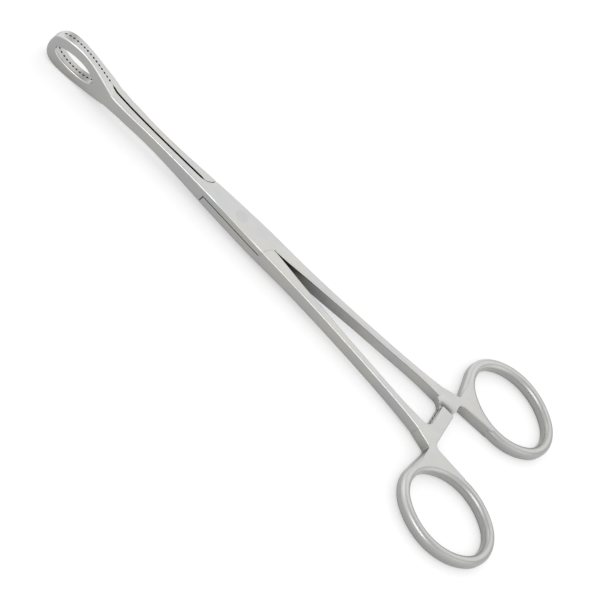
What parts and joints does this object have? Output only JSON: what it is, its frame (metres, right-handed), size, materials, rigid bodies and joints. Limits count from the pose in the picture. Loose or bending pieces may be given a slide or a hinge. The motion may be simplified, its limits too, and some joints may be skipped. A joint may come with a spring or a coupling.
{
  "type": "sponge holding forceps",
  "caption": "Straight ring-handled forceps with oval windowed, serrated jaws, a pinned lap lock and a ratchet, for holding a folded sponge or swab.",
  "frame": {"origin": "centre of the lock: on the pin's axis, at half the ground thickness, on the line where the closed jaws meet", "axes": "+X along the instrument from the jaws towards the finger rings, +Y from the side of the female jaw to that of the male jaw, +Z along the pin towards the upper lap"},
  "size_m": [0.1996, 0.0814, 0.0124],
  "materials": {
    "jaws": "satin, edges bright",
    "forging": "satin bead-blasted",
    "rings": "satin bead-blasted",
    "pin": "ground flush"
  },
  "bodies": {
    "female_half": {"female_jaw": "jaws", "female_lock": "forging", "female_shank": "forging", "female_ratchet": "forging", "female_ring": "rings", "lock_pin": "pin"},
    "male_half": {"male_jaw": "jaws", "male_lock": "forging", "male_shank": "forging", "male_ratchet": "forging", "male_ring": "rings"}
  },
  "joints": [
    {"name": "lock_hinge", "type": "hinge", "parent": "female_half", "child": "male_half", "pos_m": [0, 0, 0], "axis": [0, 0, -1], "range_deg": [0, 35]}
  ]
}
